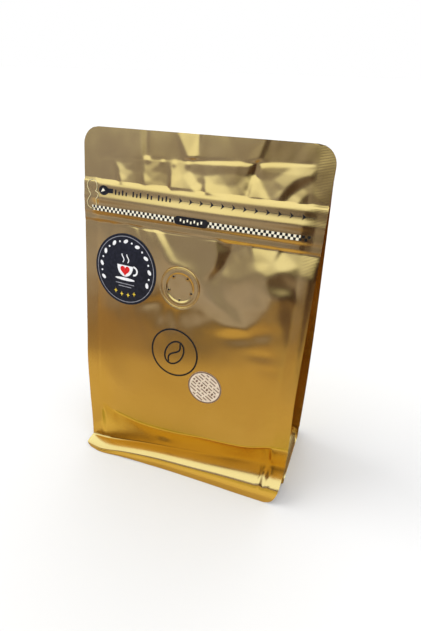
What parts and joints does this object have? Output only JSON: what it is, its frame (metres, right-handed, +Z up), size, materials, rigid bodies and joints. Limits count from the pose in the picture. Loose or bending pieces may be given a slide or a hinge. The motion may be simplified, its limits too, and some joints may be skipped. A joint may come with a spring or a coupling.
{
  "type": "coffee bag",
  "caption": "Shut flat-bottomed film pouch with side gussets, flat top seal, tear band, round valve and two round labels.",
  "frame": {"origin": "on the floor, in the middle of the footprint", "axes": "+Z up, front face towards -Y and leaning back to the top seal, +X to the right seen from the front"},
  "size_m": [0.13, 0.0662, 0.1935],
  "materials": {
    "gold_film": "satin gold metallised film",
    "valve_film": "satin gold metallised film pressed over the valve",
    "black_label": "semi-gloss printed label",
    "cream_label": "matte printed label"
  },
  "bodies": {
    "root": {"pouch": "gold_film", "valve": "valve_film", "dark_label": "black_label", "pale_label": "cream_label"}
  },
  "joints": []
}
